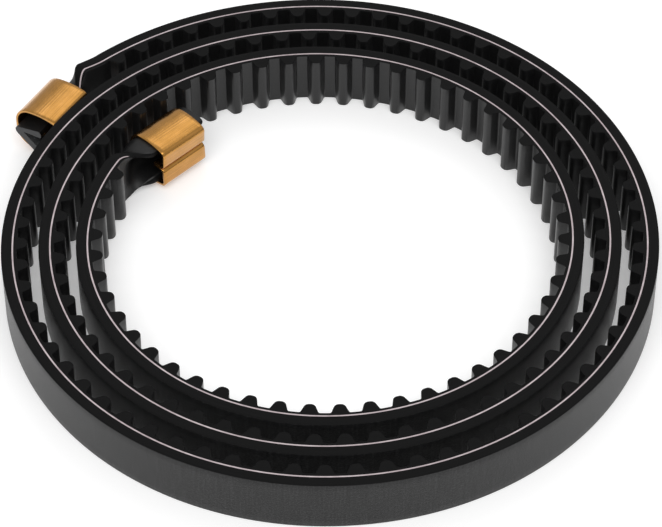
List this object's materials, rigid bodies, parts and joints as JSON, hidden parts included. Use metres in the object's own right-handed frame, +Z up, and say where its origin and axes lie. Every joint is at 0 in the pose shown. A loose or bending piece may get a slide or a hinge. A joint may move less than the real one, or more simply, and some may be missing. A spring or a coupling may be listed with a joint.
{
  "type": "timing belt",
  "caption": "Open-ended toothed timing belt wound flat into a coil, smooth back outwards, with a crimped brass clip on each folded end.",
  "frame": {"origin": "centre of the coil's bounding box, on the surface it rests on, which is the plane of its lower cut edge", "axes": "+Z up across the belt's width, from the lower cut edge to the upper one; the belt runs anticlockwise seen from above, from its inner clip to its outer clip; both clips lie towards -X +Y"},
  "size_m": [0.066, 0.0678, 0.006],
  "materials": {
    "back_rubber": "matt black moulded rubber with a fine ground texture",
    "tooth_rubber": "matt black moulded rubber",
    "nylon_facing": "tight dark nylon fabric with a slight sheen",
    "glass_cord": "pale twisted glass-fibre cord, cut along the belt edges",
    "end_rubber": "folded black rubber with a greyer cut end",
    "crimped_brass": "satin orange brass sheet with drawn lines along the crimp"
  },
  "bodies": {
    "coil": {"coil_inner_turn_backing": "back_rubber", "coil_inner_turn_teeth": "tooth_rubber", "coil_inner_turn_facing": "nylon_facing", "coil_inner_turn_cords": "glass_cord", "coil_middle_turn_backing": "back_rubber", "coil_middle_turn_teeth": "tooth_rubber", "coil_middle_turn_facing": "nylon_facing", "coil_middle_turn_cords": "glass_cord", "coil_outer_turn_backing": "back_rubber", "coil_outer_turn_teeth": "tooth_rubber", "coil_outer_turn_facing": "nylon_facing", "coil_outer_turn_cords": "glass_cord"},
    "inner_link_1": {"inner_link_1_backing": "back_rubber", "inner_link_1_teeth": "tooth_rubber", "inner_link_1_facing": "nylon_facing", "inner_link_1_cords": "glass_cord"},
    "inner_link_2": {"inner_link_2_backing": "back_rubber", "inner_link_2_teeth": "tooth_rubber", "inner_link_2_facing": "nylon_facing", "inner_link_2_cords": "glass_cord"},
    "inner_end": {"inner_link_3_backing": "back_rubber", "inner_link_3_teeth": "tooth_rubber", "inner_link_3_facing": "nylon_facing", "inner_link_3_cords": "glass_cord", "inner_curled_end": "end_rubber", "inner_clip": "crimped_brass"},
    "outer_link_1": {"outer_link_1_backing": "back_rubber", "outer_link_1_teeth": "tooth_rubber", "outer_link_1_facing": "nylon_facing", "outer_link_1_cords": "glass_cord"},
    "outer_link_2": {"outer_link_2_backing": "back_rubber", "outer_link_2_teeth": "tooth_rubber", "outer_link_2_facing": "nylon_facing", "outer_link_2_cords": "glass_cord"},
    "outer_link_3": {"outer_link_3_backing": "back_rubber", "outer_link_3_teeth": "tooth_rubber", "outer_link_3_facing": "nylon_facing", "outer_link_3_cords": "glass_cord"},
    "outer_link_4": {"outer_link_4_backing": "back_rubber", "outer_link_4_teeth": "tooth_rubber", "outer_link_4_facing": "nylon_facing", "outer_link_4_cords": "glass_cord"},
    "outer_end": {"outer_link_5_backing": "back_rubber", "outer_link_5_teeth": "tooth_rubber", "outer_link_5_facing": "nylon_facing", "outer_link_5_cords": "glass_cord", "outer_curled_end": "end_rubber", "outer_clip": "crimped_brass"}
  },
  "joints": [
    {"name": "inner_curl_1", "type": "hinge", "parent": "coil", "child": "inner_link_1", "pos_m": [-0.0145, -0.02065, 0.003], "axis": [0, 0, -1], "range_deg": [0, 39]},
    {"name": "inner_curl_2", "type": "hinge", "parent": "inner_link_1", "child": "inner_link_2", "pos_m": [-0.02204, -0.01148, 0.003], "axis": [0, 0, -1], "range_deg": [0, 39]},
    {"name": "inner_curl_3", "type": "hinge", "parent": "inner_link_2", "child": "inner_end", "pos_m": [-0.02422, 0.00019, 0.003], "axis": [0, 0, -1], "range_deg": [0, 39]},
    {"name": "outer_unwind_1", "type": "hinge", "parent": "coil", "child": "outer_link_1", "pos_m": [0.02766, 0.01563, 0.003], "axis": [0, 0, -1], "range_deg": [0, 20]},
    {"name": "outer_unwind_2", "type": "hinge", "parent": "outer_link_1", "child": "outer_link_2", "pos_m": [0.02008, 0.02486, 0.003], "axis": [0, 0, -1], "range_deg": [0, 20]},
    {"name": "outer_unwind_3", "type": "hinge", "parent": "outer_link_2", "child": "outer_link_3", "pos_m": [0.00974, 0.03081, 0.003], "axis": [0, 0, -1], "range_deg": [0, 20]},
    {"name": "outer_unwind_4", "type": "hinge", "parent": "outer_link_3", "child": "outer_link_4", "pos_m": [-0.00205, 0.03271, 0.003], "axis": [0, 0, -1], "range_deg": [0, 20]},
    {"name": "outer_unwind_5", "type": "hinge", "parent": "outer_link_4", "child": "outer_end", "pos_m": [-0.01376, 0.03039, 0.003], "axis": [0, 0, -1], "range_deg": [0, 20]}
  ],
  "couplings": [
    {"joint": "inner_curl_2", "follows": "inner_curl_1", "ratio": 1},
    {"joint": "inner_curl_3", "follows": "inner_curl_1", "ratio": 1},
    {"joint": "outer_unwind_2", "follows": "outer_unwind_1", "ratio": 1},
    {"joint": "outer_unwind_3", "follows": "outer_unwind_1", "ratio": 1},
    {"joint": "outer_unwind_4", "follows": "outer_unwind_1", "ratio": 1},
    {"joint": "outer_unwind_5", "follows": "outer_unwind_1", "ratio": 1}
  ]
}
